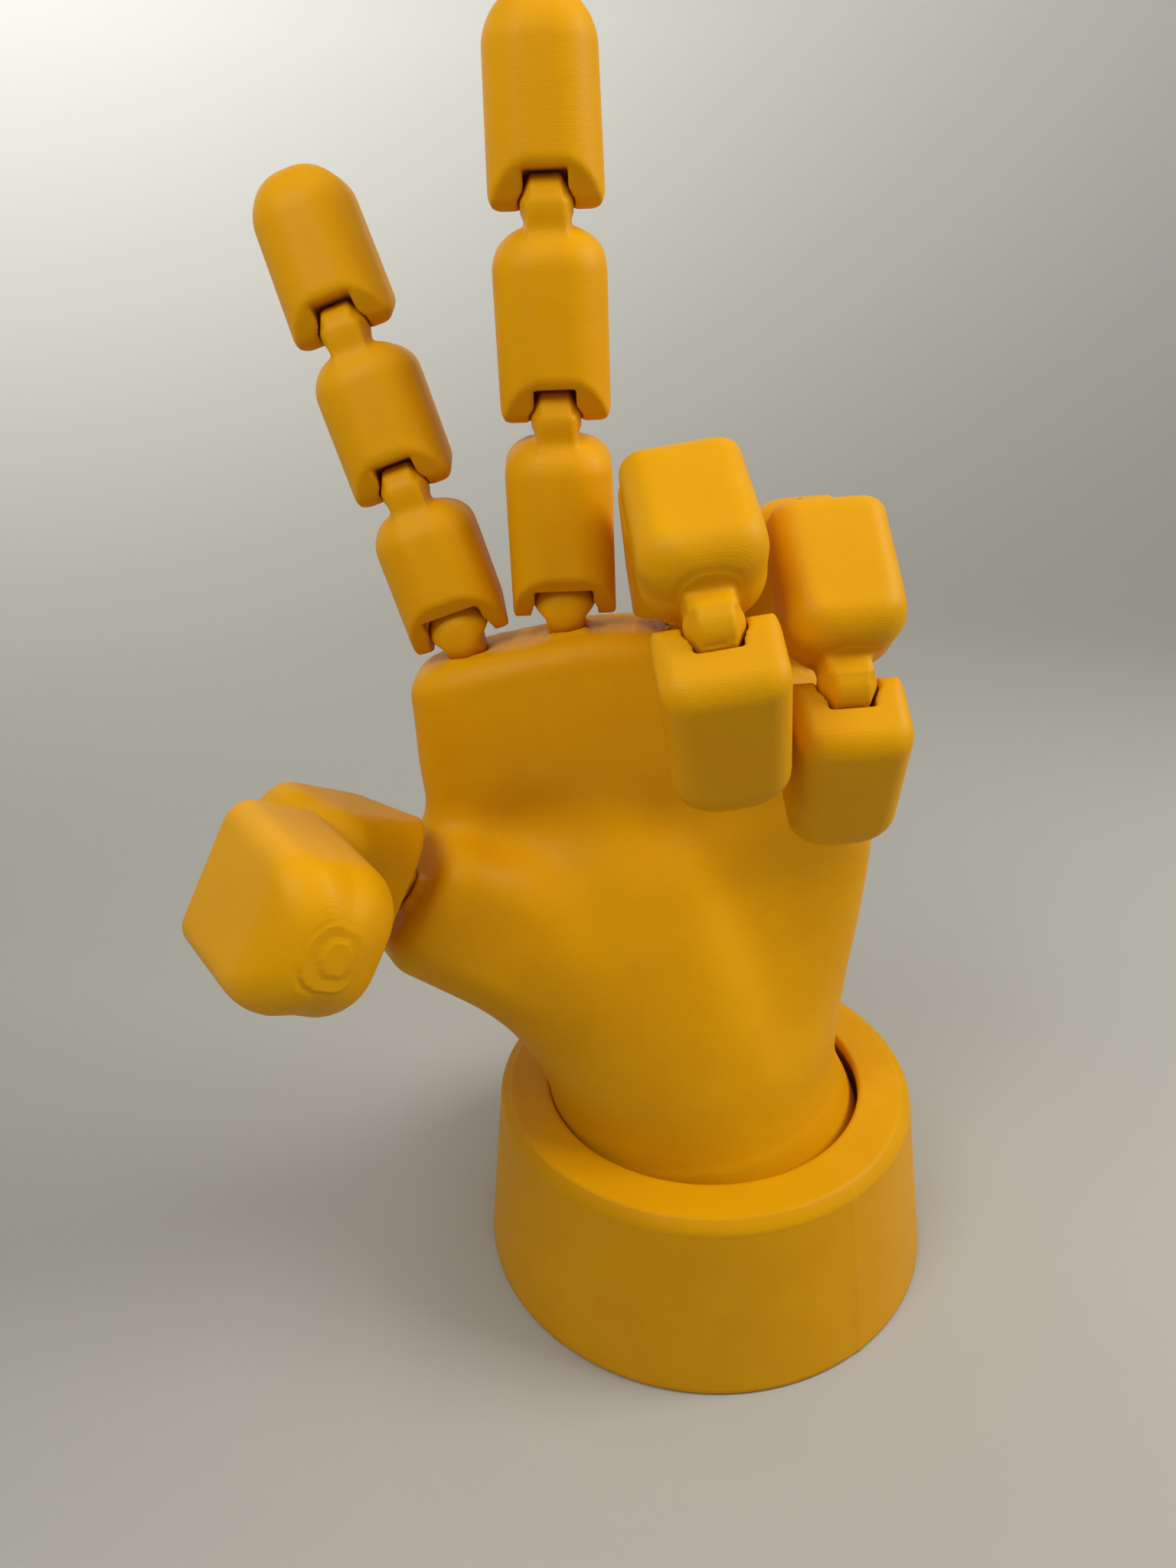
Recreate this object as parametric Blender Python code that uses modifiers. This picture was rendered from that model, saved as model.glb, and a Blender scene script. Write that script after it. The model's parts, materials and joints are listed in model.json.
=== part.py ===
"""A poseable left hand, printed in parts that snap together, standing in a ring base.

The origin is the centre of the base's underside, with +Z up. The palm faces -Y and the thumb points to -X.
A phalanx is modelled in its own frame: the joint at its lower end is the origin, +Z runs along the bone to
the next joint, -Y is the palm side and X is the hinge axis. Chains of empties place the phalanges.
"""

import math

import bmesh
import bpy
from mathutils import Matrix, Vector

MM = 0.001

# Ring base
BASE_HEIGHT = 29.6 * MM
BASE_FOOT_RADIUS = 37.5 * MM
BASE_TOP_RADIUS = 34.2 * MM
BASE_EDGE_ROUND = 2.2 * MM
BASE_MOUTH_RADIUS = 25.8 * MM
BASE_FLOOR = 3.0 * MM
BASE_STEPS = 44
BASE_EDGE_STEPS = 4
BASE_EDGE_SWEEP = 80  # degrees of the top edge's round, from the level rim
SOCKET_STEPS = 6

# Wrist ball: a flat-bottomed ball on the palm, turning in the base
WRIST_HEIGHT = 16.5 * MM
WRIST_BALL_RADIUS = 27.8 * MM
WRIST_GAP = 0.45 * MM

# Palm, in its own frame: the wrist ball's centre is the origin and the palm leans about Y
PALM_LEAN = math.radians(-7.0)
PALM_POINTS = 36
# Each row: height, half width, reach to the front, reach to the back, squareness of the outline
# (2 is an ellipse)
PALM_SECTIONS = (
    (18.0, 23.6, 22.9, 23.2, 2.0),
    (24.0, 25.0, 21.6, 22.2, 2.1),
    (32.0, 27.2, 18.6, 19.4, 2.2),
    (42.0, 30.0, 14.6, 15.4, 2.5),
    (52.0, 32.2, 11.4, 12.2, 3.0),
    (64.0, 33.0, 9.2, 10.2, 3.6),
    (78.0, 32.4, 8.2, 9.4, 4.2),
    (88.0, 31.2, 7.8, 9.0, 4.6),
)
PALM_TOP = 92.3 * MM
PALM_TOP_ROUND = 3.2 * MM
PALM_TOP_STEPS = 3
PALM_BALL_BOTTOM = -0.75  # where the wrist ball's rings start, as a share of its radius
PALM_BALL_TOP = 2.5 * MM  # they end this far below the first section
PALM_BALL_STEPS = 8
# The top edge follows the knuckles: a low arch, steeper towards the little finger
ARCH_START = 58.0 * MM
ARCH_CENTRE = -6.0 * MM
ARCH_HALF_WIDTH = 31.0 * MM
ARCH_DROP_THUMB_SIDE = 3.2 * MM
ARCH_DROP_LITTLE_SIDE = 11.5 * MM

# Finger joints
# The lower end of a phalanx, by the joint there: how far it reaches below the joint, and its two slopes,
# which rise to the palm side and to the back from a narrow flat
LOWER_ENDS = {
    "ball": (1.8 * MM, math.radians(47.3), math.radians(39.3)),
    "hinge": (0.8 * MM, math.radians(53.0), math.radians(20.0)),
}
FLAT_END = 0.5 * MM  # half the flat between the two slopes
HINGE_SHIFT = 2.0 * MM  # a hinge lies this far to the palm side of the bone's middle
NECK_LENGTH = 2.1 * MM  # from the dome's top to the next hinge
NECK_HALF_WIDTH = 2.45 * MM
NECK_HALF_DEPTH = 3.0 * MM
NECK_ROOT = 9.0 * MM
BARREL_RADIUS = 3.3 * MM
# The barrel's two cones along the hinge axis: half width at the rim and at the ends, and the ends' radius
BARREL_RIM = 1.8 * MM
BARREL_END = 3.2 * MM
BARREL_END_RADIUS = 0.9 * MM
BARREL_SIDES = 20
SLOT_GAP = 0.35 * MM
BACK_CORNER = 3.0 * MM  # a bar's long edges are rounder on the palm side than at the back
PALM_CORNER = 5.4 * MM
CORNER_SHARE = 0.9  # the most of a half width that a corner's radius may take
DOME_ROUND = 5.0 * MM
TIP_ROUND = 5.6 * MM
TIP_TAPER = 0.93
DOME_SWEEP = 84  # degrees of the dome's quarter round that are modelled
CORNER_STEPS = 4
DOME_STEPS = 5
BEYOND = 13 * MM  # how far a cutting tool reaches past the part

# Knuckle balls
BALL_RADIUS = 4.4 * MM
BALL_GAP = 0.35 * MM
BALL_FLAT = 4.1 * MM
SOCKET_HALF_WIDTH = 4.0 * MM
SOCKET_BACK = 4.2 * MM
SOCKET_ROOF = ((-2.3 * MM, 3.9 * MM), (-13.0 * MM, -1.5 * MM))  # the passage's sloping roof, as (y, z)
BALL_NECK_HALF_WIDTH = 2.6 * MM
BALL_NECK_FRONT = 4.1 * MM
BALL_NECK_BACK = 3.5 * MM
BALL_NECK_TOP = 2.9 * MM  # the neck's end, below the ball's centre

# Fingers: knuckle place on the palm (x, z), width, depth, the three bone lengths,
# lean in the palm's plane, turn about the bone, and the bend at each joint
FINGERS = {
    "index": {
        "knuckle": (-22.6, 94.6),
        "width": 14.0,
        "depth": 12.8,
        "lengths": (20.2, 21.0, 20.3),
        "lean": -17.0,
        "turn": 0.0,
        "bends": (-9.0, 0.0, 0.0),
    },
    "middle": {
        "knuckle": (-7.6, 95.9),
        "width": 14.3,
        "depth": 13.0,
        "lengths": (24.7, 24.1, 21.9),
        "lean": 0.3,
        "turn": 0.0,
        "bends": (0.0, 0.0, 0.0),
    },
    "ring": {
        "knuckle": (8.5, 94.5),
        "width": 14.0,
        "depth": 13.0,
        "lengths": (24.6, 23.8, 21.0),
        "lean": -7.0,
        "turn": 0.5,
        "bends": (42.3, 76.0, 80.0),
    },
    "little": {
        "knuckle": (22.4, 87.9),
        "width": 13.4,
        "depth": 12.6,
        "lengths": (23.4, 22.2, 20.1),
        "lean": -1.4,
        "turn": 1.3,
        "bends": (40.0, 93.0, 66.5),
    },
}

# Thumb, in the object's frame: its ball, the palm arm that carries it, the bone and the hinge axis
THUMB_BALL = (-46.5, -12.0, 75.5)
THUMB_ARM = (-0.70, -0.27, 0.66)
THUMB_HINGE_AXIS = (0.48, 0.40, 0.78)
THUMB_BONE = (-10.1, -19.4, 12.1)
THUMB_WIDTHS = (19.5, 18.0)
THUMB_DEPTHS = (17.5, 16.0)
THUMB_LENGTHS = (25.3, 26.0)
THUMB_BEND = 63.3
ARM_WIDTH = 20.5
ARM_DEPTH = 17.5
ARM_ROOT = 36.0 * MM
ARM_NECK = 4.1 * MM
ARM_ROUND = 4.6 * MM

PLASTIC = (0.93, 0.45, 0.015, 1.0)


def clear_scene():
    for obj in list(bpy.data.objects):
        bpy.data.objects.remove(obj, do_unlink=True)


def new_collection(name):
    collection = bpy.data.collections.new(name)
    bpy.context.scene.collection.children.link(collection)
    return collection


def plastic(name):
    material = bpy.data.materials.new(name)
    material.use_nodes = True
    shader = material.node_tree.nodes["Principled BSDF"]
    shader.inputs["Base Color"].default_value = PLASTIC
    shader.inputs["Roughness"].default_value = 0.45
    shader.inputs["Metallic"].default_value = 0.0
    return material


def add_object(name, bm, collection, parent=None):
    """An object made from bm, which is freed, with its faces turned outwards."""
    bmesh.ops.recalc_face_normals(bm, faces=bm.faces)
    mesh = bpy.data.meshes.new(name)
    bm.to_mesh(mesh)
    bm.free()
    obj = bpy.data.objects.new(name, mesh)
    collection.objects.link(obj)
    obj.parent = parent
    return obj


def add_part(name, bm, parent=None):
    part = add_object(name, bm, PARTS, parent)
    part.data.materials.append(plastic(name))
    part.data.shade_smooth()
    part.data.set_sharp_from_angle(angle=math.radians(35))
    return part


def add_tool(name, bm, parent=None):
    tool = add_object(name, bm, TOOLS, parent)
    tool.hide_render = True
    tool.display_type = "WIRE"
    return tool


def add_empty(name, parent, matrix):
    empty = bpy.data.objects.new(name, None)
    empty.empty_display_size = 5 * MM
    PARTS.objects.link(empty)
    empty.parent = parent
    empty.matrix_basis = matrix
    return empty


def boolean(target, tool, operation):
    modifier = target.modifiers.new(f"{operation.lower()} {tool.name}", "BOOLEAN")
    modifier.operation = operation
    modifier.object = tool
    modifier.solver = "EXACT"


def loft(rings):
    """A closed skin over rings of points with equal counts, with a flat cap at each end."""
    bm = bmesh.new()
    loops = [[bm.verts.new(point) for point in ring] for ring in rings]
    for low, high in zip(loops, loops[1:]):
        for i in range(len(low)):
            j = (i + 1) % len(low)
            bm.faces.new((low[i], low[j], high[j], high[i]))
    bm.faces.new(list(reversed(loops[0])))
    bm.faces.new(loops[-1])
    return bm


def rounded_outline(width, depth):
    """Points round a rectangle with round corners, anticlockwise seen from above."""
    points = []
    most = CORNER_SHARE * min(width, depth) / 2
    for quarter, (sx, sy) in enumerate(((1, 1), (-1, 1), (-1, -1), (1, -1))):
        corner = min(BACK_CORNER if sy > 0 else PALM_CORNER, most)
        for step in range(CORNER_STEPS + 1):
            angle = math.radians(90 * (quarter + step / CORNER_STEPS))
            x = sx * (width / 2 - corner) + corner * math.cos(angle)
            y = sy * (depth / 2 - corner) + corner * math.sin(angle)
            points.append((x, y))
    return points


def cut_away(bm, point, normal):
    """Cuts off what lies on the side that normal points to, and closes the cut."""
    geometry = bm.verts[:] + bm.edges[:] + bm.faces[:]
    cut = bmesh.ops.bisect_plane(bm, geom=geometry, plane_co=point, plane_no=normal, clear_outer=True)
    edges = [item for item in cut["geom_cut"] if isinstance(item, bmesh.types.BMEdge)]
    bmesh.ops.holes_fill(bm, edges=edges)


def extrude_side_profile(points, half_width):
    """A prism along X from (y, z) points."""
    bm = bmesh.new()
    face = bm.faces.new([bm.verts.new((-half_width, y, z)) for y, z in points])
    extruded = bmesh.ops.extrude_face_region(bm, geom=[face])
    moved = [item for item in extruded["geom"] if isinstance(item, bmesh.types.BMVert)]
    bmesh.ops.translate(bm, verts=moved, vec=(2 * half_width, 0, 0))
    return bm


def arc(radius, start, end, steps):
    """(y, z) points on an arc about the hinge; 0 degrees is the back, 90 degrees is up the bone."""
    angles = [math.radians(start + (end - start) * i / steps) for i in range(steps + 1)]
    return [(radius * math.cos(a), radius * math.sin(a)) for a in angles]


def sphere(radius, centre=(0, 0, 0), segments=20, rings=12):
    bm = bmesh.new()
    place = Matrix.Translation(centre)
    bmesh.ops.create_uvsphere(bm, u_segments=segments, v_segments=rings, radius=radius, matrix=place)
    return bm


def barrel(gap, centre):
    """Two cones base to base on the hinge axis, grown by gap, about (y, z) centre."""
    stations = (
        (-BARREL_END - gap, BARREL_END_RADIUS + gap),
        (-BARREL_RIM - gap, BARREL_RADIUS + gap),
        (BARREL_RIM + gap, BARREL_RADIUS + gap),
        (BARREL_END + gap, BARREL_END_RADIUS + gap),
    )
    rings = []
    for x, radius in stations:
        angles = [2 * math.pi * i / BARREL_SIDES for i in range(BARREL_SIDES)]
        circle = [(radius * math.cos(angle), radius * math.sin(angle)) for angle in angles]
        rings.append([(x, centre[0] + y, centre[1] + z) for y, z in circle])
    return loft(rings)


def domed_bar(width, depth, bottom, top, top_round, taper=1.0):
    """A rounded bar along Z, narrowing by taper towards its domed top."""
    rings = [[(x, y, bottom) for x, y in rounded_outline(width, depth)]]
    for step in range(DOME_STEPS + 1):
        angle = math.radians(DOME_SWEEP * step / DOME_STEPS)
        inset = top_round * (1 - math.cos(angle))
        height = top - top_round * (1 - math.sin(angle))
        outline = rounded_outline(taper * width - 2 * inset, taper * depth - 2 * inset)
        rings.append([(x, y, height) for x, y in outline])
    return loft(rings)


def phalanx_body(width, depth, top, below, is_tip):
    """The bone without its joints: a domed bar with two slopes at its lower end."""
    end, palm_slope, back_slope = LOWER_ENDS[below]
    if is_tip:
        bm = domed_bar(width, depth, -end, top, TIP_ROUND, TIP_TAPER)
    else:
        bm = domed_bar(width, depth, -end, top, DOME_ROUND)
    if below == "hinge":
        bmesh.ops.translate(bm, verts=bm.verts, vec=(0, HINGE_SHIFT, 0))
    for side, slope in ((-1, palm_slope), (1, back_slope)):
        start = Vector((0, side * FLAT_END, -end))
        cut_away(bm, start, Vector((0, side * math.sin(slope), -math.cos(slope))))
    return bm


def add_knuckle_tab(part, parent, y, z):
    """The neck and barrel that carry the next phalanx, about the hinge at (y, z)."""
    corners = ((-1, -NECK_ROOT), (1, -NECK_ROOT), (1, 0), (-1, 0))
    outline = [(y + side * NECK_HALF_DEPTH, z + height) for side, height in corners]
    tab = add_tool(f"{part.name} neck", extrude_side_profile(outline, NECK_HALF_WIDTH), parent)
    round_end = add_tool(f"{part.name} barrel", barrel(0, (y, z)), parent)
    boolean(tab, round_end, "UNION")
    boolean(part, tab, "UNION")


def cut_hinge_slot(part, parent):
    """The slot for the neck below, open to the palm side and the lower end, with the barrel's recess."""
    radius = BARREL_RADIUS + SLOT_GAP
    outline = [(-BEYOND, -BEYOND), (radius, -BEYOND)] + arc(radius, 0, 90, 6) + [(-BEYOND, radius)]
    slot = add_tool(f"{part.name} slot", extrude_side_profile(outline, NECK_HALF_WIDTH + SLOT_GAP), parent)
    recess = add_tool(f"{part.name} recess", barrel(SLOT_GAP, (0, 0)), parent)
    boolean(part, slot, "DIFFERENCE")
    boolean(part, recess, "DIFFERENCE")


def cut_ball_socket(part, parent):
    """The round socket for a knuckle ball, and the passage that its neck swings in."""
    outline = [(-BEYOND, -BEYOND), (SOCKET_BACK, -BEYOND), (SOCKET_BACK, 0), *SOCKET_ROOF]
    passage = add_tool(f"{part.name} passage", extrude_side_profile(outline, SOCKET_HALF_WIDTH), parent)
    socket = add_tool(f"{part.name} socket", sphere(BALL_RADIUS + BALL_GAP), parent)
    boolean(part, passage, "DIFFERENCE")
    boolean(part, socket, "DIFFERENCE")


def add_ball(name, parent):
    """A knuckle ball, flat on the palm side."""
    bm = sphere(BALL_RADIUS)
    cut_away(bm, Vector((0, -BALL_FLAT, 0)), Vector((0, -1, 0)))
    return add_part(name, bm, parent)


def add_ball_neck(palm, name, parent):
    """The neck that carries a knuckle ball on the palm, hollowed at its end to hold the ball."""
    top = -BALL_NECK_TOP
    outline = [
        (BALL_NECK_BACK, -NECK_ROOT),
        (BALL_NECK_BACK, top),
        (-BALL_NECK_FRONT, top),
        (-BALL_NECK_FRONT, -NECK_ROOT),
    ]
    neck = add_tool(f"{name} neck", extrude_side_profile(outline, BALL_NECK_HALF_WIDTH), parent)
    cup = add_tool(f"{name} cup", sphere(BALL_RADIUS + BALL_GAP), parent)
    boolean(palm, neck, "UNION")
    boolean(palm, cup, "DIFFERENCE")


def add_phalanx(name, parent, width, depth, length, below, is_tip):
    """One bone. below is "ball" or "hinge", the joint at its lower end."""
    top = length if is_tip else length - NECK_LENGTH
    part = add_part(name, phalanx_body(width, depth, top, below, is_tip), parent)
    if below == "ball":
        cut_ball_socket(part, parent)
    else:
        cut_hinge_slot(part, parent)
    if not is_tip:
        add_knuckle_tab(part, parent, hinge_line(below), length)


def hinge_line(below):
    """Where along Y a phalanx's upper hinge lies, in the frame of its lower joint."""
    return -HINGE_SHIFT if below == "ball" else 0


def hinge(name, parent, y, height, bend):
    """An empty on a hinge axis, bent towards the palm side."""
    place = Matrix.Translation((0, y, height)) @ Matrix.Rotation(math.radians(bend), 4, "X")
    return add_empty(name, parent, place)


def add_finger(name, palm, palm_frame):
    finger = FINGERS[name]
    x, z = (value * MM for value in finger["knuckle"])
    width = finger["width"] * MM
    depth = finger["depth"] * MM
    lengths = [value * MM for value in finger["lengths"]]
    lean = math.radians(finger["lean"]) - PALM_LEAN
    bends = finger["bends"]
    straight = add_empty(f"{name}_neck", palm_frame, Matrix.Translation((x, 0, z)))
    add_ball_neck(palm, name, straight)
    splay = Matrix.Translation((x, 0, z)) @ Matrix.Rotation(lean, 4, "Y")
    splay = splay @ Matrix.Rotation(math.radians(finger["turn"]), 4, "Z")
    knuckle = add_empty(f"{name}_splay", palm_frame, splay)
    add_ball(f"{name}_knuckle_ball", knuckle)
    frame = hinge(f"{name}_knuckle_bend", knuckle, 0, 0, bends[0])
    add_phalanx(f"{name}_proximal", frame, width, depth, lengths[0], "ball", False)
    frame = hinge(f"{name}_middle_bend", frame, hinge_line("ball"), lengths[0], bends[1])
    add_phalanx(f"{name}_middle", frame, width, depth, lengths[1], "hinge", False)
    frame = hinge(f"{name}_tip_bend", frame, hinge_line("hinge"), lengths[1], bends[2])
    add_phalanx(f"{name}_tip", frame, width, depth, lengths[2], "hinge", True)


def facing(direction):
    """A frame at the thumb's ball with Z along direction and X near the thumb's hinge axis."""
    bone = Vector(direction).normalized()
    axis = Vector(THUMB_HINGE_AXIS)
    axis = (axis - axis.dot(bone) * bone).normalized()
    turn = Matrix((axis, bone.cross(axis), bone)).transposed().to_4x4()
    return Matrix.Translation(Vector(THUMB_BALL) * MM) @ turn


def add_thumb_arm(palm):
    """The palm's arm for the thumb, a domed bar that runs into the heel of the hand."""
    frame = add_empty("thumb_arm", None, facing(THUMB_ARM))
    arm = domed_bar(ARM_WIDTH * MM, ARM_DEPTH * MM, -ARM_ROOT, -ARM_NECK, ARM_ROUND)
    boolean(palm, add_tool("thumb arm body", arm, frame), "UNION")
    add_ball_neck(palm, "thumb arm", frame)


def add_thumb():
    lengths = [value * MM for value in THUMB_LENGTHS]
    widths = [value * MM for value in THUMB_WIDTHS]
    depths = [value * MM for value in THUMB_DEPTHS]
    base = add_empty("thumb_splay", None, facing(THUMB_BONE))
    add_ball("thumb_knuckle_ball", base)
    frame = hinge("thumb_knuckle_bend", base, 0, 0, 0)
    add_phalanx("thumb_proximal", frame, widths[0], depths[0], lengths[0], "ball", False)
    frame = hinge("thumb_tip_bend", frame, hinge_line("ball"), lengths[0], THUMB_BEND)
    add_phalanx("thumb_tip", frame, widths[1], depths[1], lengths[1], "hinge", True)


def palm_outline(half_width, front, back, squareness):
    points = []
    for i in range(PALM_POINTS):
        angle = 2 * math.pi * i / PALM_POINTS
        cosine = math.cos(angle)
        sine = math.sin(angle)
        x = half_width * math.copysign(abs(cosine) ** (2 / squareness), cosine)
        reach = back if sine > 0 else front
        y = reach * math.copysign(abs(sine) ** (2 / squareness), sine)
        points.append((x, y))
    return points


def arch_height(x, z):
    """Lowers a height towards the palm's two sides, more so near its top."""
    share = min(max((z - ARCH_START) / (PALM_TOP - ARCH_START), 0), 1)
    across = (x - ARCH_CENTRE) / ARCH_HALF_WIDTH
    drop = ARCH_DROP_LITTLE_SIDE if across > 0 else ARCH_DROP_THUMB_SIDE
    return z - drop * share * across**2


def palm_rings():
    rings = []
    bottom = PALM_BALL_BOTTOM * WRIST_BALL_RADIUS
    join = PALM_SECTIONS[0][0] * MM - PALM_BALL_TOP
    for step in range(PALM_BALL_STEPS + 1):
        height = bottom + (join - bottom) * step / PALM_BALL_STEPS
        radius = math.sqrt(WRIST_BALL_RADIUS**2 - height**2)
        rings.append([(x, y, height) for x, y in palm_outline(radius, radius, radius, 2)])
    for height, half_width, front, back, squareness in PALM_SECTIONS:
        outline = palm_outline(half_width * MM, front * MM, back * MM, squareness)
        rings.append([(x, y, height * MM) for x, y in outline])
    half_width, front, back, squareness = PALM_SECTIONS[-1][1:]
    for step in range(PALM_TOP_STEPS + 1):
        angle = math.radians(DOME_SWEEP * step / PALM_TOP_STEPS)
        inset = PALM_TOP_ROUND * (1 - math.cos(angle))
        height = PALM_TOP - PALM_TOP_ROUND * (1 - math.sin(angle))
        outline = palm_outline(half_width * MM - inset, front * MM - inset, back * MM - inset, squareness)
        rings.append([(x, y, height) for x, y in outline])
    return [[(x, y, arch_height(x, z)) for x, y, z in ring] for ring in rings]


def add_palm():
    turn = Matrix.Translation((0, 0, WRIST_HEIGHT)) @ Matrix.Rotation(PALM_LEAN, 4, "Y")
    frame = add_empty("wrist_swivel", None, turn)
    bm = loft(palm_rings())
    underside = Vector((0, 0, BASE_FLOOR + WRIST_GAP))
    level = turn.to_3x3().transposed() @ Vector((0, 0, -1))
    cut_away(bm, turn.inverted() @ underside, level)
    return add_part("palm", bm, frame), frame


def stand_profile():
    """(radius, height) points from the floor's centre, up the socket, over the rim and down the outside."""
    socket_radius = WRIST_BALL_RADIUS + WRIST_GAP
    points = [(0, BASE_FLOOR)]
    throat = WRIST_HEIGHT + math.sqrt(socket_radius**2 - BASE_MOUTH_RADIUS**2)
    for step in range(SOCKET_STEPS + 1):
        height = BASE_FLOOR + (throat - BASE_FLOOR) * step / SOCKET_STEPS
        points.append((math.sqrt(socket_radius**2 - (height - WRIST_HEIGHT) ** 2), height))
    points.append((BASE_MOUTH_RADIUS, BASE_HEIGHT))
    centre = BASE_TOP_RADIUS - BASE_EDGE_ROUND
    for step in range(BASE_EDGE_STEPS + 1):
        angle = math.radians(90 - BASE_EDGE_SWEEP * step / BASE_EDGE_STEPS)
        x = centre + BASE_EDGE_ROUND * math.cos(angle)
        points.append((x, BASE_HEIGHT - BASE_EDGE_ROUND * (1 - math.sin(angle))))
    points += [(BASE_FOOT_RADIUS, 0), (0, 0)]
    return points


def add_stand():
    bm = bmesh.new()
    verts = [bm.verts.new((radius, 0, height)) for radius, height in stand_profile()]
    for start, end in zip(verts, verts[1:]):
        bm.edges.new((start, end))
    stand = add_part("stand", bm)
    screw = stand.modifiers.new("turn", "SCREW")
    screw.angle = 2 * math.pi
    screw.steps = BASE_STEPS
    screw.render_steps = BASE_STEPS
    screw.use_merge_vertices = True
    screw.merge_threshold = 0.00001
    screw.use_smooth_shade = True


clear_scene()
PARTS = new_collection("poseable hand")
TOOLS = new_collection("cutters")
add_stand()
PALM, PALM_FRAME = add_palm()
add_thumb_arm(PALM)
for finger_name in FINGERS:
    add_finger(finger_name, PALM, PALM_FRAME)
add_thumb()
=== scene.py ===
"""The looks of the poseable printed hand: each piece as a smooth solid with its print marks.

Each piece but the turned stand is described by a signed distance in millimetres, in a frame of its
own whose Z is the direction it was printed in, and then turned into a mesh. A phalanx's frame has
its lower joint as the origin, +Z along the bone, -Y on the palm side and X along the hinge axis.
"""

import json
import math

import bpy
import numpy as np
import openvdb
from mathutils import Matrix, Vector

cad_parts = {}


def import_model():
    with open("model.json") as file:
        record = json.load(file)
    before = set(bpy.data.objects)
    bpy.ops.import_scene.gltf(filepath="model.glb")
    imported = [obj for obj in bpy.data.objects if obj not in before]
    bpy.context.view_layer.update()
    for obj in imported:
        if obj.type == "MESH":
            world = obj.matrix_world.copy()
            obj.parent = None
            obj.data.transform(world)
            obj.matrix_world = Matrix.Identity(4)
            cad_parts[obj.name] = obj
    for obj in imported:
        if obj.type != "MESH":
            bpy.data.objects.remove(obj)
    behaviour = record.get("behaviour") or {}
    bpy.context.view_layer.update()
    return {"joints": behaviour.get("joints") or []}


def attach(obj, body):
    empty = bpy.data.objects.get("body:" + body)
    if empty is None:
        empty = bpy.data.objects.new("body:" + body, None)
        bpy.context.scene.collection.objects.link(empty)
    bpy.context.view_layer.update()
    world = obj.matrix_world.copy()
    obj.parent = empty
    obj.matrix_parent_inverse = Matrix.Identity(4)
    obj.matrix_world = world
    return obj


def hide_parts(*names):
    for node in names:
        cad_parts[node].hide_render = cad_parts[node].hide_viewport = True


MM = 0.001
PRINT_PLACE = "print_place"

# Sizes in millimetres. They follow the CAD model, apart from gaps and rounded edges, which are
# finer here.

EDGE = 0.3

# Wrist and stand. The ball's radius is less than the CAD model's by WRIST_PLAY, and its middle is
# WRIST_SHIFT away.
WRIST_HEIGHT = 16.5
WRIST_BALL = 27.8
WRIST_GAP = 0.45
WRIST_PLAY = 0.5
WRIST_SHIFT = (-0.2, 0.3, 0.0)
STAND_HEIGHT = 29.6
STAND_FOOT = 37.5
STAND_TOP = 34.2
STAND_ROUND = 2.2
STAND_MOUTH = 25.8
STAND_MOUTH_BEVEL = 0.3
STAND_FLOOR = 3.0
STAND_FOOT_BEVEL = (0.35, 0.4)
STAND_SEGMENTS = 360
# The seam is a low ridge down the stand's outside
SEAM_ANGLE = math.radians(-56.5)
SEAM_HEIGHT = 0.22
SEAM_WIDTH = 0.4

# Palm, in its own frame: origin in the wrist's middle, leaning by PALM_LEAN
PALM_LEAN = math.radians(-7.0)
PALM_LOW = (-56.0, -26.0, -15.0)
PALM_HIGH = (34.0, 25.0, 98.0)
PALM_TOP = 92.3
PALM_TOP_ROUND = 3.4
PALM_START = 11.0
BALL_END = 13.0
WRIST_FILLET = 1.5
PALM_FLOOR_EDGE = 0.5
ARCH_START = 58.0
ARCH_CENTRE = -6.0
ARCH_HALF_WIDTH = 31.0
ARCH_DROP_THUMB_SIDE = 3.2
ARCH_DROP_LITTLE_SIDE = 11.5
# Each row: height, half width, reach to the front, reach to the back, squareness of the outline
PALM_SECTIONS = np.array(
    (
        (13.0, 24.2, 24.0, 24.0, 2.0),
        (18.0, 23.9, 22.9, 23.2, 2.0),
        (24.0, 25.0, 21.6, 22.2, 2.1),
        (32.0, 27.2, 18.6, 19.4, 2.2),
        (42.0, 30.0, 14.6, 15.4, 2.5),
        (52.0, 32.2, 11.4, 12.2, 3.0),
        (64.0, 33.0, 9.2, 10.2, 3.6),
        (78.0, 32.4, 8.2, 9.4, 4.2),
        (88.0, 31.2, 7.8, 9.0, 4.6),
        (100.0, 31.2, 7.8, 9.0, 4.6),
    )
)
# The pads and hollows of the palm's front: how far each stands out, its middle and its spread, both
# as (across, up)
PALM_RELIEF = (
    (2.2, (-18, 47), (12, 12)),
    (1.4, (2, 40), (9, 15)),
    (-2.4, (-19, 66), (10, 6)),
    (-2.2, (2, 63), (6, 6)),
    (-1.4, (-6, 67), (22, 8)),
    (0.8, (-2, 84), (26, 7)),
)
# The crest between the pads: a line through CREST_POINT (x, z), with a step down past it on the
# little finger's side, deepest at the height CREST_MIDDLE
CREST_POINT = (5.5, 57)
CREST_SLOPE = 0.24
CREST_SOFTNESS = 1.5
CREST_STEP = 2.6
CREST_MIDDLE = 41
CREST_REACH = 17

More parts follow.
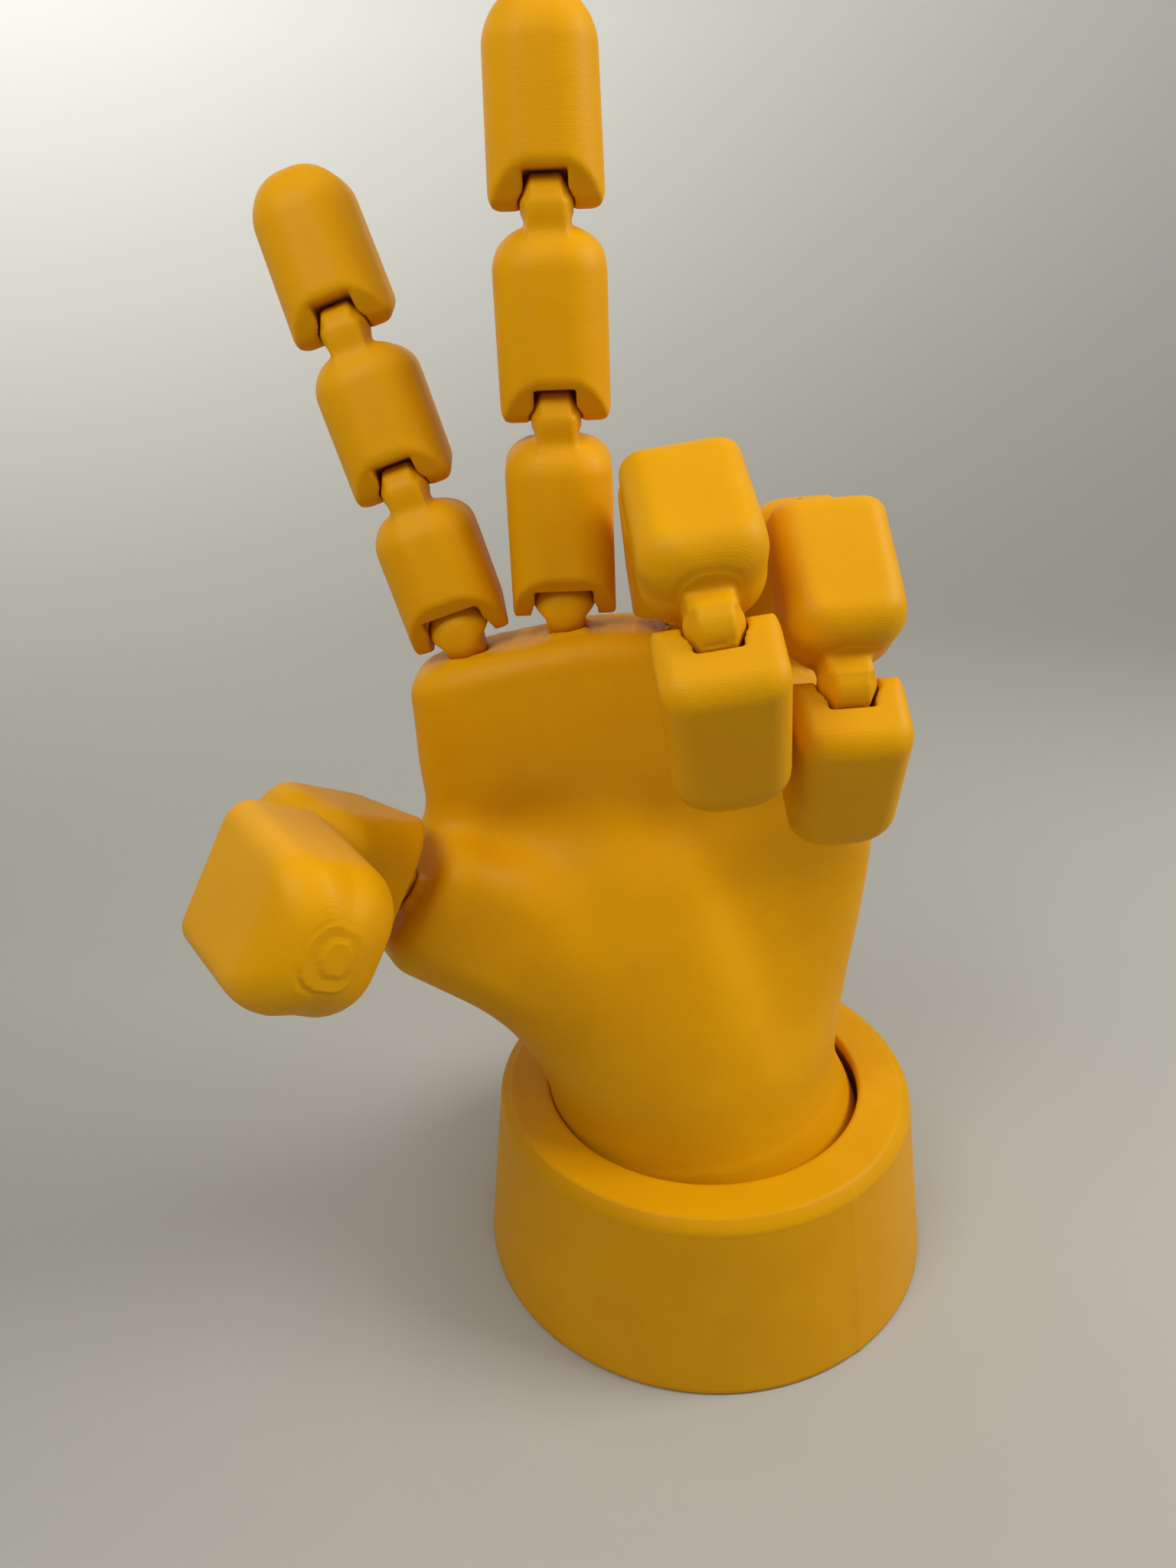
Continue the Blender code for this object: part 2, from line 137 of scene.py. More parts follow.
# A phalanx's lower end, by the joint there: its reach below the joint, and its slopes to the palm
# and to the back
LOWER_ENDS = {
    "ball": (1.8, math.radians(47.3), math.radians(39.3)),
    "hinge": (0.8, math.radians(53.0), math.radians(20.0)),
}
FLAT_END = 0.5
PALM_EDGE = 0.3
BACK_EDGE = 2.2
SLOT_EDGE = 0.15
HINGE_SHIFT = 2.0
TAB_FILLET = 0.8
BARREL_FILLET = 1.0
NECK_LENGTH = 2.1
NECK_HALF_WIDTH = 2.45
NECK_HALF_DEPTH = 3.0
BARREL_RADIUS = 3.3
BARREL_RIM = 1.8
BARREL_END = 3.2
BARREL_END_RADIUS = 0.9
SLOT_GAP = 0.22
BACK_CORNER = 3.0
PALM_CORNER = 5.4
# A bar's roundest long edges, as a share of its smaller side
ROUNDEST = 0.46
# A dome starts this many of its radii below its top, and is squarer at the back, from DOME_BACK on
DOME_REACH = 1.4
DOME_ROUND = 4.5
DOME_CROWN = 0.5
DOME_BACK = 3.0
BACK_SQUARENESS = 0.3
# A tip's radius is TIP_ROUND on a bone TIP_ROUND_WIDTH wide, and grows with the width up to
# TIP_ROUND_MOST
TIP_ROUND = 4.7
TIP_ROUND_WIDTH = 14
TIP_ROUND_MOST = 6.6
TIP_CROWN = 1.2
TIP_TAPER = 0.93
BALL_RADIUS = 4.4
BALL_GAP = 0.35
BALL_FLAT = 4.1
BALL_FOOT = 1.4
# The passage round a knuckle ball: its reach to the back, to the palm and up, and the normal of
# its sloping roof
SOCKET_HALF_WIDTH = 4.0
SOCKET_BACK = 4.2
SOCKET_FRONT = -2.3
SOCKET_ROOF = 3.9
SOCKET_ROOF_NORMAL = (-5.4, 9.7)
BALL_SEAT_GAP = 0.1
BALL_NECK_HALF_WIDTH = 2.6
BALL_NECK_FRONT = 4.1
BALL_NECK_BACK = 3.5
BALL_NECK_TOP = 2.9

# Each finger's width and depth, and its last bone's length and bend at rest, in degrees
FINGERS = {
    "index": (14.0, 12.8, 20.3, 0.0),
    "middle": (14.2, 13.0, 21.9, 0.0),
    "ring": (13.8, 13.0, 21.0, 80.0),
    "little": (13.2, 12.6, 20.1, 66.5),
}
THUMB_WIDTHS = (19.5, 18.0)
THUMB_DEPTHS = (17.5, 16.0)
THUMB_TIP_LENGTH = 26.0
THUMB_BEND = 63.3
THUMB_ARM = (-0.70, -0.27, 0.66)
ARM_WIDTH = 20.5
ARM_DEPTH = 17.5
ARM_ROOT = 36.0
ARM_NECK = 4.1
ARM_ROUND = 4.6
ARM_FILLET = 7.0

# The print
LAYER = 0.22
FINE_VOXEL = 0.32
PALM_VOXEL = 0.65
# The distance field is kept FIELD_DEPTH voxels deep, on a grid that reaches GRID_MARGIN voxels past
# the piece
FIELD_DEPTH = 3
GRID_MARGIN = 2
# Layer steps show where a normal's Z is past STEP_START, and in full where it is STEP_FADE more
STEP_START = 0.95
STEP_FADE = 0.02

PLASTIC_DEEP = (0.76, 0.345, 0.0005, 1)
PLASTIC_LIGHT = (0.80, 0.375, 0.0005, 1)

# The camera, in metres: worked out from the circles of the stand and of the turntable it stood on
CAMERA_PLACE = (-0.0171, -0.144, 0.1448)
CAMERA_PITCH = math.radians(23.1)
CAMERA_ROLL = math.radians(-2.54)
CAMERA_SENSOR_MM = 36.0
CAMERA_LENS_MM = 24.0

# The studio, in metres and watts
DISH_FLAT = 0.42
DISH_CURVE = 0.35
DISH_HEIGHT = 1.1
DISH_SIDES = 128
# The backdrop goes from FLOOR_COLOUR up its curve to the paler WALL_COLOUR: the paler wall is
# painted light
FLOOR_COLOUR = (0.50, 0.49, 0.455, 1)
WALL_COLOUR = (0.97, 0.97, 0.94, 1)
LIGHT_COLOUR = (1.0, 0.985, 0.94)
WORLD_COLOUR = (0.95, 0.97, 1.0, 1)
WORLD_STRENGTH = 0.17
HAND = (0, 0, 0.09)
# Each light: its name, place, aim, size and power
LIGHTS = (
    ("right", (0.34, -0.04, 0.34), HAND, (0.22, 0.22), 1.18),
    ("above", (0.02, -0.04, 0.48), HAND, (0.36, 0.26), 0.23),
    ("front", (-0.12, -0.155, 0.30), (-0.02, 0, 0.15), (0.12, 0.12), 0.30),
    ("wall", (-0.25, 0.30, 0.55), (-0.35, 0.75, 0.30), (0.30, 0.30), 1.50),
)


# Signed distances: negative inside, in millimetres

FAR_OUTSIDE = 1e3


def length(*parts):
    return np.sqrt(sum(part * part for part in parts))


def join(a, b, radius):
    """The union of two solids with a fillet where they meet."""
    blend = np.maximum(radius - np.abs(a - b), 0.0) / radius
    return np.minimum(a, b) - blend * blend * radius / 4


def meet(a, b, radius):
    """What two solids share, with the edge between them rounded to radius."""
    corner = length(np.maximum(a + radius, 0), np.maximum(b + radius, 0))
    return np.minimum(np.maximum(a, b), -radius) + corner


def cut(a, b, radius=EDGE):
    return meet(a, -b, radius)


def slab(value, low, high):
    return np.maximum(low - value, value - high)


def ball(x, y, z, radius, centre=(0, 0, 0)):
    return length(x - centre[0], y - centre[1], z - centre[2]) - radius


def plane(y, z, point, normal):
    """Below a plane that runs along X, through the point (y, z)."""
    scale = math.hypot(*normal)
    return ((y - point[0]) * normal[0] + (z - point[1]) * normal[1]) / scale


def rounded_bar(x, y, width, depth, roundness=0.0):
    """A bar along Z whose long edges are rounder on the palm side than at the back.

    A roundness of 1 makes them as round as they can be.
    """
    corner = np.where(y > 0, BACK_CORNER, PALM_CORNER)
    corner = corner + (ROUNDEST * np.minimum(width, depth) - corner) * roundness
    outside_x = np.abs(x) - width / 2 + corner
    outside_y = np.abs(y) - depth / 2 + corner
    outside = length(np.maximum(outside_x, 0), np.maximum(outside_y, 0))
    return outside + np.minimum(np.maximum(outside_x, outside_y), 0) - corner


def domed_bar(x, y, z, width, depth, top, top_round, crown, taper=1.0):
    """A rounded bar along Z that narrows by taper up to its domed top.

    The top rises by crown in the middle.
    """
    scale = 1 - (1 - taper) * np.clip(z / top, 0, 1)
    rise = np.clip((z - top) / (DOME_REACH * top_round) + 1, 0, 1) ** 2
    sides = rounded_bar(x, y, width * scale, depth * scale, rise)
    fall = crown * ((2 * x / width) ** 2 + (2 * y / depth) ** 2)
    top_round = top_round * (1 - BACK_SQUARENESS * np.clip(y / DOME_BACK, 0, 1))
    return meet(sides, z - top + np.minimum(fall, 2 * crown), top_round)


def phalanx_body(x, y, z, width, depth, top, below, is_tip):
    end, palm_slope, back_slope = LOWER_ENDS[below]
    middle = y - (HINGE_SHIFT if below == "hinge" else 0)
    if is_tip:
        top_round = min(TIP_ROUND * width / TIP_ROUND_WIDTH, TIP_ROUND_MOST)
        body = domed_bar(x, middle, z, width, depth, top, top_round, TIP_CROWN, TIP_TAPER)
    else:
        body = domed_bar(x, middle, z, width, depth, top, DOME_ROUND, DOME_CROWN)
    for side, slope, edge in ((-1, palm_slope, PALM_EDGE), (1, back_slope, BACK_EDGE)):
        start = (side * FLAT_END, -end)
        cap = plane(y, z, start, (side * math.sin(slope), -math.cos(slope)))
        body = meet(body, cap, edge)
    return meet(body, -end - z, EDGE)


def barrel(x, y, z, gap):
    """Two cones base to base along the hinge axis, grown by gap."""
    rim = np.abs(x) - BARREL_RIM - gap
    radius = length(y, z) - BARREL_RADIUS - gap
    rise = BARREL_RADIUS - BARREL_END_RADIUS
    run = BARREL_END - BARREL_RIM
    cone = (rim * rise + radius * run) / math.hypot(rise, run)
    return np.maximum(np.maximum(radius, cone), np.abs(x) - BARREL_END - gap)


def tab(x, y, z, hinge):
    """The neck and barrel above a bone, which the next one turns on. hinge is its axis's (y, z)."""
    across = y - hinge[0]
    up = z - hinge[1]
    neck_sides = meet(np.abs(across) - NECK_HALF_DEPTH, np.abs(x) - NECK_HALF_WIDTH, EDGE)
    neck_part = np.maximum(neck_sides, slab(up, -3 * NECK_LENGTH, 0))
    return join(neck_part, barrel(x, across, up, 0), BARREL_FILLET)


def hinge_slot(x, y, z):
    radius = BARREL_RADIUS + SLOT_GAP
    profile = meet(y - radius, z - radius, radius)
    slot = meet(profile, np.abs(x) - NECK_HALF_WIDTH - SLOT_GAP, EDGE)
    return np.minimum(slot, barrel(x, y, z, SLOT_GAP))


def ball_socket(x, y, z):
    """The round socket of a knuckle and the passage that the ball's neck swings in."""
    roof = plane(y, z, (SOCKET_FRONT, SOCKET_ROOF), SOCKET_ROOF_NORMAL)
    profile = np.maximum(np.maximum(y - SOCKET_BACK, roof), z - SOCKET_ROOF)
    solid_above = (z > 0) & (y > SOCKET_FRONT)
    passage = np.where(solid_above, FAR_OUTSIDE, profile)
    passage = np.maximum(passage, np.abs(x) - SOCKET_HALF_WIDTH)
    return np.minimum(passage, ball(x, y, z, BALL_RADIUS + BALL_GAP))


def phalanx(width, depth, bone, below, is_tip):
    """A distance function for one bone. below is "ball" or "hinge", the joint at its lower end."""

    def distance(x, y, z):
        top = bone if is_tip else bone - NECK_LENGTH
        solid = phalanx_body(x, y, z, width, depth, top, below, is_tip)
        if below == "ball":
            solid = cut(solid, ball_socket(x, y, z))
        else:
            solid = cut(solid, hinge_slot(x, y, z), SLOT_EDGE)
        if not is_tip:
            hinge = (-HINGE_SHIFT if below == "ball" else 0, bone)
            solid = join(solid, tab(x, y, z, hinge), TAB_FILLET)
        return solid

    return distance


def knuckle_ball(x, y, z):
    """A ball, flat on the palm side, that narrows at its foot to the neck's width."""
    foot = np.abs(x) - BALL_NECK_HALF_WIDTH - np.maximum(z + BALL_FOOT, 0)
    return meet(meet(ball(x, y, z, BALL_RADIUS), foot, EDGE), -y - BALL_FLAT, EDGE)


def neck(x, y, z, root):
    """The neck under a knuckle ball, in the ball's frame."""
    sides = meet(slab(y, -BALL_NECK_FRONT, BALL_NECK_BACK), np.abs(x) - BALL_NECK_HALF_WIDTH, EDGE)
    return np.maximum(sides, slab(z, -root, -BALL_NECK_TOP))


def smooth_profile(height, column):
    """A palm section's value at each height, with no corner where two sections meet."""
    heights = np.arange(0, 120, 0.5)
    values = np.interp(heights, PALM_SECTIONS[:, 0], PALM_SECTIONS[:, column])
    kernel = np.hanning(15)
    padded = np.pad(values, 7, mode="edge")
    values = np.convolve(padded, kernel / kernel.sum(), mode="valid")
    return np.interp(height, heights, values)


def hill(x, z, centre, spread):
    return np.exp(-(((x - centre[0]) / spread[0]) ** 2) - ((z - centre[1]) / spread[1]) ** 2)


def palm_front(x, z):
    """How far the palm's front stands out past its plain sections."""
    relief = sum(amount * hill(x, z, centre, spread) for amount, centre, spread in PALM_RELIEF)
    crest = CREST_POINT[0] + CREST_SLOPE * (CREST_POINT[1] - z)
    beyond = 1 / (1 + np.exp((crest - x) / CREST_SOFTNESS))
    relief -= CREST_STEP * beyond * np.exp(-(((z - CREST_MIDDLE) / CREST_REACH) ** 4))
    return relief


def palm_solid(x, y, z, spacing):
    """The palm without its thumb arm and necks, on a grid of points that are spacing apart."""
    across = (x - ARCH_CENTRE) / ARCH_HALF_WIDTH
    drop = np.where(across > 0, ARCH_DROP_LITTLE_SIDE, ARCH_DROP_THUMB_SIDE) * across**2
    share = np.clip((z - ARCH_START) / (PALM_TOP - ARCH_START), 0, 1)
    height = z + drop * share
    half_width = smooth_profile(height, 1)
    front = smooth_profile(height, 2) + palm_front(x, height)
    back = smooth_profile(height, 3)
    squareness = smooth_profile(height, 4)
    reach = np.where(y > 0, back, front)
    ratio = np.abs(x / half_width) ** squareness + np.abs(y / reach) ** squareness
    ratio = np.maximum(ratio, 1e-4) ** (1 / squareness)
    slopes = np.gradient(ratio, spacing)
    sides = (ratio - 1) / np.maximum(length(*slopes), 1e-3)
    sides = np.clip(sides, -12, 12)
    top = z - (PALM_TOP - drop)
    solid = meet(sides, top, PALM_TOP_ROUND)
    wrist = ball(x, y, z, WRIST_BALL - WRIST_PLAY, WRIST_SHIFT)
    return join(np.maximum(solid, PALM_START - z), np.maximum(wrist, z - BALL_END), WRIST_FILLET)


def arm_solid(x, y, z):
    sides = rounded_bar(x, y, ARM_WIDTH, ARM_DEPTH)
    return np.maximum(meet(sides, z + ARM_NECK, ARM_ROUND), -ARM_ROOT - z)


def in_frame(matrix, x, y, z):
    """The same points in the frame of matrix, both in millimetres."""
    inverse = matrix.inverted()
    return [row[0] * x + row[1] * y + row[2] * z + row[3] for row in list(inverse)[:3]]


# From distance to mesh


def grid_points(low, high, voxel):
    before = GRID_MARGIN * voxel
    after = (GRID_MARGIN + 1) * voxel
    axes = [np.arange(a - before, b + after, voxel) for a, b in zip(low, high)]
    return np.meshgrid(*axes, indexing="ij")


def mesh_from(name, values, low, voxel):
    """A closed mesh, in millimetres, where the distance values pass through zero."""
    depth = FIELD_DEPTH * voxel
    grid = openvdb.FloatGrid(background=float(depth))
    grid.copyFromArray(np.clip(values, -depth, depth).astype(np.float32))
    points, quads = grid.convertToQuads()
    points = points * voxel + np.array(low) - GRID_MARGIN * voxel
    mesh = bpy.data.meshes.new(name)
    mesh.from_pydata(points.tolist(), [], quads.tolist())
    mesh.update()
    return mesh


def vertex_values(mesh, key):
    values = np.empty(len(mesh.vertices) * 3)
    mesh.vertices.foreach_get(key, values)
    return values.reshape(-1, 3)


def add_layer_steps(mesh):
    """Steps the flatter upward faces like printed layers that wobble a little."""
    points = vertex_values(mesh, "co")
    up = vertex_values(mesh, "normal")[:, 2]
    x, y, z = points.T
    wobble = 0.03 * np.sin(0.5 * x + 0.3 * y) + 0.02 * np.sin(0.8 * y - 0.4 * x)
    phase = (z + wobble) / LAYER
    step = LAYER * (0.5 - (phase - np.floor(phase)))
    points[:, 2] += step * np.clip((up - STEP_START) / STEP_FADE, 0, 1)
    mesh.vertices.foreach_set("co", points.ravel())
    mesh.update()


def add_piece(name, mesh, matrix, body, node):
    """Puts a mesh in place of a CAD node, riding on its body.

    Each point remembers its place in the print, which the plastic's layer lines follow.
    """
    place = mesh.attributes.new(PRINT_PLACE, "FLOAT_VECTOR", "POINT")
    place.data.foreach_set("vector", vertex_values(mesh, "co").ravel())
    mesh.transform(Matrix.Scale(MM, 4) @ matrix)
    piece = bpy.data.objects.new(name, mesh)
    bpy.context.scene.collection.objects.link(piece)
    mesh.shade_smooth()
    mesh.materials.append(plastic())
    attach(piece, body)
    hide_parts(node)


def solid_piece(name, distance, low, high, matrix):
    points = grid_points(low, high, FINE_VOXEL)
    mesh = mesh_from(name, distance(*points), low, FINE_VOXEL)
    add_layer_steps(mesh)
    add_piece(f"{name}_print", mesh, matrix, name, name)


def frame_at(origin, axis, bone):
    """A frame in millimetres with Z along bone and X along axis, made square to it."""
    bone = Vector(bone).normalized()
    axis = Vector(axis)
    axis = (axis - axis.dot(bone) * bone).normalized()
    turn = Matrix((axis, bone.cross(axis), bone)).transposed().to_4x4()
    return Matrix.Translation(Vector(origin)) @ turn


# Filled by main with the frame's joints, by name
JOINTS = {}


def joint_place(name):
    return Vector(JOINTS[name]["pos_m"]) / MM


def joint_axis(name):
    return Vector(JOINTS[name]["axis"])


def build_phalanx(node, place, size, bone, below, is_tip):
    width, depth = size
    middle = HINGE_SHIFT if below == "hinge" else 0
    low = (-width / 2, middle - depth / 2, -LOWER_ENDS[below][0])
    high = (width / 2, middle + depth / 2, bone + (0 if is_tip else BARREL_RADIUS))
    solid_piece(node, phalanx(width, depth, bone, below, is_tip), low, high, place)


def build_ball(node, place):
    reach = BALL_RADIUS
    solid_piece(node, knuckle_ball, (-reach,) * 3, (reach,) * 3, place)


def first_bone(ball_place, hinge_place, axis):
    """A finger's first bone as a vector along its Z. The far hinge lies to the palm side of it."""
    reach = hinge_place - ball_place
    reach = reach - reach.dot(axis) * axis
    tilt = math.asin(HINGE_SHIFT / reach.length)
    return Matrix.Rotation(-tilt, 3, axis) @ reach * math.cos(tilt)


def build_finger(name):
    width, depth, tip_length, tip_bend = FINGERS[name]
    size = (width, depth)
    knuckle = joint_place(f"{name}_knuckle_bend")
    middle = joint_place(f"{name}_middle_bend")
    last = joint_place(f"{name}_tip_bend")
    axis = joint_axis(f"{name}_knuckle_bend")
    proximal = first_bone(knuckle, middle, axis)
    second_bone = last - middle
    tip_bone = Matrix.Rotation(math.radians(tip_bend), 3, axis) @ second_bone
    place = frame_at(knuckle, axis, proximal)
    build_ball(f"{name}_knuckle_ball", ball_frame(name, knuckle))
    build_phalanx(f"{name}_proximal", place, size, proximal.length, "ball", False)
    place = frame_at(middle, axis, second_bone)
    build_phalanx(f"{name}_middle", place, size, second_bone.length, "hinge", False)
    place = frame_at(last, axis, tip_bone)
    build_phalanx(f"{name}_tip", place, size, tip_length, "hinge", True)


def ball_frame(name, place):
    """A knuckle ball's frame, which stays with the palm: its Z points up and its Y to the back."""
    back = joint_axis(f"{name}_splay")
    axis = joint_axis(f"{name}_knuckle_bend")
    if back.cross(axis).z > 0:
        back = -back
    return frame_at(place, axis, axis.cross(back))


def build_thumb():
    ball_place = joint_place("thumb_splay")
    tip_place = joint_place("thumb_tip_bend")
    axis = joint_axis("thumb_tip_bend")
    bone = first_bone(ball_place, tip_place, axis)
    tip_bone = Matrix.Rotation(math.radians(THUMB_BEND), 3, axis) @ bone
    place = frame_at(ball_place, axis, bone)
    build_ball("thumb_knuckle_ball", place)
    size = (THUMB_WIDTHS[0], THUMB_DEPTHS[0])
    build_phalanx("thumb_proximal", place, size, bone.length, "ball", False)
    place = frame_at(tip_place, axis, tip_bone)
    size = (THUMB_WIDTHS[1], THUMB_DEPTHS[1])
    build_phalanx("thumb_tip", place, size, THUMB_TIP_LENGTH, "hinge", True)


def build_palm():
    turn = Matrix.Rotation(PALM_LEAN, 4, "Y")
    place = Matrix.Translation((0, 0, WRIST_HEIGHT)) @ turn
    x, y, z = grid_points(PALM_LOW, PALM_HIGH, PALM_VOXEL)
    solid = palm_solid(x, y, z, PALM_VOXEL)
    axis = joint_axis("thumb_tip_bend")
    arm_frame = place.inverted() @ frame_at(joint_place("thumb_splay"), axis, THUMB_ARM)
    arm_points = in_frame(arm_frame, x, y, z)
    solid = join(solid, arm_solid(*arm_points), ARM_FILLET)
    solid = join(solid, neck(*arm_points, 2 * ARM_NECK), TAB_FILLET)
    seats = [arm_points]
    for name in FINGERS:
        spot = place.inverted() @ joint_place(f"{name}_splay")
        points = (x - spot.x, y - spot.y, z - spot.z)
        solid = join(solid, neck(*points, 2 * ARM_NECK), TAB_FILLET)
        seats.append(points)
    for points in seats:
        solid = cut(solid, ball(*points, BALL_RADIUS + BALL_SEAT_GAP), BALL_SEAT_GAP)
    # The flat underside, level over the socket's floor
    down = turn.to_3x3().transposed() @ Vector((0, 0, -1))
    floor = place.inverted() @ Vector((0, 0, STAND_FLOOR + WRIST_GAP))
    below = (x - floor.x) * down.x + (y - floor.y) * down.y + (z - floor.z) * down.z
    solid = meet(solid, below, PALM_FLOOR_EDGE)
    mesh = mesh_from("palm", solid, PALM_LOW, PALM_VOXEL)
    add_layer_steps(mesh)
    add_piece("palm_print", mesh, place, "palm", "palm")


def lathe_faces(count, rings, end=None):
    """Faces between rings of count points, closed at point 0 and, if given, at the point end."""
    faces = []
    for i in range(count):
        j = (i + 1) % count
        faces.append((0, 1 + i, 1 + j))
        for ring in range(rings - 1):
            a = 1 + ring * count
            faces.append((a + i, a + count + i, a + count + j, a + j))
        if end is not None:
            a = 1 + (rings - 1) * count
            faces.append((a + i, end, a + j))
    return faces


def stand_profile():
    """(radius, height) points from the socket's floor, over the rim and down the outside."""
    socket = WRIST_BALL + WRIST_GAP
    throat = WRIST_HEIGHT + math.sqrt(socket**2 - STAND_MOUTH**2)
    heights = np.linspace(STAND_FLOOR, throat, 24)
    inside = [(math.sqrt(socket**2 - (h - WRIST_HEIGHT) ** 2), h) for h in heights]
    mouth_top = STAND_HEIGHT - STAND_MOUTH_BEVEL
    inside += [(STAND_MOUTH, h) for h in np.linspace(throat, mouth_top, 5)[1:]]
    rim = [(STAND_MOUTH + STAND_MOUTH_BEVEL, STAND_HEIGHT)]
    centre = STAND_TOP - STAND_ROUND
    rim += [(r, STAND_HEIGHT) for r in np.linspace(STAND_MOUTH + 0.8, centre, 8)]
    # The rounded edge goes down in printed layers, each with a tread and a riser
    for layer in range(1, int(STAND_ROUND / LAYER) + 1):
        rise = 1 - layer * LAYER / STAND_ROUND
        radius = centre + STAND_ROUND * math.sqrt(max(1 - rise * rise, 0))
        height = STAND_HEIGHT - layer * LAYER
        rim.append((radius - 0.02, height + LAYER * 0.95))
        rim.append((radius, height + LAYER * 0.35))
    low = rim[-1][1]
    spread = STAND_FOOT - STAND_TOP
    bevel_in, bevel_up = STAND_FOOT_BEVEL
    heights = np.linspace(low, bevel_up, 40)[1:]
    outside = [(STAND_TOP + spread * (1 - h / low), h) for h in heights]
    outside += [(STAND_FOOT - bevel_in, 0.0)]
    return [(0.0, STAND_FLOOR)] + inside + rim + outside + [(0.0, 0.0)]


def build_stand():
    profile = stand_profile()
    angles = np.linspace(0, 2 * math.pi, STAND_SEGMENTS, endpoint=False)
    points = [(0.0, 0.0, profile[0][1])]
    rings = profile[1:-1]
    for radius, height in rings:
        away = np.abs((angles - SEAM_ANGLE + math.pi) % (2 * math.pi) - math.pi) * radius
        is_outside = radius > STAND_TOP - 1
        seam = SEAM_HEIGHT * np.exp(-((away / SEAM_WIDTH) ** 2)) if is_outside else 0 * away
        ring = (radius + seam) * np.cos(angles), (radius + seam) * np.sin(angles)
        points += [(a, b, height) for a, b in zip(*ring)]
    points.append((0.0, 0.0, 0.0))
    faces = lathe_faces(STAND_SEGMENTS, len(rings), len(points) - 1)
    mesh = bpy.data.meshes.new("stand")
    mesh.from_pydata(points, [], faces)
    mesh.update()
    add_piece("stand_print", mesh, Matrix.Identity(4), "stand", "stand")


# Plastic


def add_noise(tree, vector, scale, detail):
    noise = tree.nodes.new("ShaderNodeTexNoise")
    noise.inputs["Scale"].default_value = scale
    noise.inputs["Detail"].default_value = detail
    tree.links.new(vector, noise.inputs["Vector"])
    return noise.outputs["Fac"]


def add_scaled(tree, value, scale, other):
    """value * scale + other"""
    node = tree.nodes.new("ShaderNodeMath")
    node.operation = "MULTIPLY_ADD"
    tree.links.new(value, node.inputs[0])
    node.inputs[1].default_value = scale
    tree.links.new(other, node.inputs[2])
    return node.outputs["Value"]


def plastic():
    """Satin yellow-orange filament with faint layer lines along each piece's own Z."""
    if "filament" in bpy.data.materials:
        return bpy.data.materials["filament"]
    material = bpy.data.materials.new("filament")
    material.use_nodes = True
    tree = material.node_tree
    nodes = tree.nodes
    link = tree.links.new
    shader = nodes["Principled BSDF"]
    shader.inputs["Roughness"].default_value = 0.46
    shader.inputs["IOR"].default_value = 1.46
    shader.inputs["Specular IOR Level"].default_value = 0.14
    place = nodes.new("ShaderNodeAttribute")
    place.attribute_name = PRINT_PLACE
    # Colour: cloudy and slightly deeper in patches
    ramp = nodes.new("ShaderNodeValToRGB")
    deep, light = ramp.color_ramp.elements
    deep.position = 0.3
    deep.color = PLASTIC_DEEP
    light.position = 0.7
    light.color = PLASTIC_LIGHT
    link(add_noise(tree, place.outputs["Vector"], 0.12, 4.0), ramp.inputs["Fac"])
    link(ramp.outputs["Color"], shader.inputs["Base Color"])
    # Layer lines: a fine wave and uneven bands, both across the print direction
    wave = nodes.new("ShaderNodeTexWave")
    wave.bands_direction = "Z"
    wave.inputs["Scale"].default_value = 2 * math.pi / (20 * LAYER)
    wave.inputs["Distortion"].default_value = 0.6
    wave.inputs["Detail"].default_value = 2.0
    wave.inputs["Detail Scale"].default_value = 0.4
    link(place.outputs["Vector"], wave.inputs["Vector"])
    squash = nodes.new("ShaderNodeMapping")
    squash.inputs["Scale"].default_value = (0.03, 0.03, 1.6)
    link(place.outputs["Vector"], squash.inputs["Vector"])
    bands = add_noise(tree, squash.outputs["Vector"], 1.0, 3.0)
    grain = add_noise(tree, place.outputs["Vector"], 3.0, 3.0)
    height = add_scaled(tree, wave.outputs["Fac"], 0.5, bands)
    height = add_scaled(tree, grain, 0.35, height)
    bump = nodes.new("ShaderNodeBump")
    bump.inputs["Strength"].default_value = 0.35
    bump.inputs["Distance"].default_value = 0.04 * MM
    link(height, bump.inputs["Height"])
    link(bump.outputs["Normal"], shader.inputs["Normal"])
    return material


# Studio


def build_camera():
    data = bpy.data.cameras.new("camera")
    data.sensor_fit = "VERTICAL"
    data.sensor_height = CAMERA_SENSOR_MM
    data.lens = CAMERA_LENS_MM
    data.clip_start = 0.01
    camera = bpy.data.objects.new("camera", data)
    bpy.context.scene.collection.objects.link(camera)
    pitch = Matrix.Rotation(math.radians(90) - CAMERA_PITCH, 4, "X")
    roll = Matrix.Rotation(CAMERA_ROLL, 4, "Z")
    camera.matrix_world = Matrix.Translation(CAMERA_PLACE) @ pitch @ roll
    bpy.context.scene.camera = camera


def add_light(name, place, target, size, power):
    data = bpy.data.lights.new(name, "AREA")
    data.shape = "RECTANGLE"
    data.size, data.size_y = size
    data.energy = power
    data.color = LIGHT_COLOUR
    light = bpy.data.objects.new(name, data)
    bpy.context.scene.collection.objects.link(light)
    light.location = place
    light.visible_camera = False
    aim = Vector(target) - Vector(place)
    light.rotation_euler = aim.to_track_quat("-Z", "Y").to_euler()


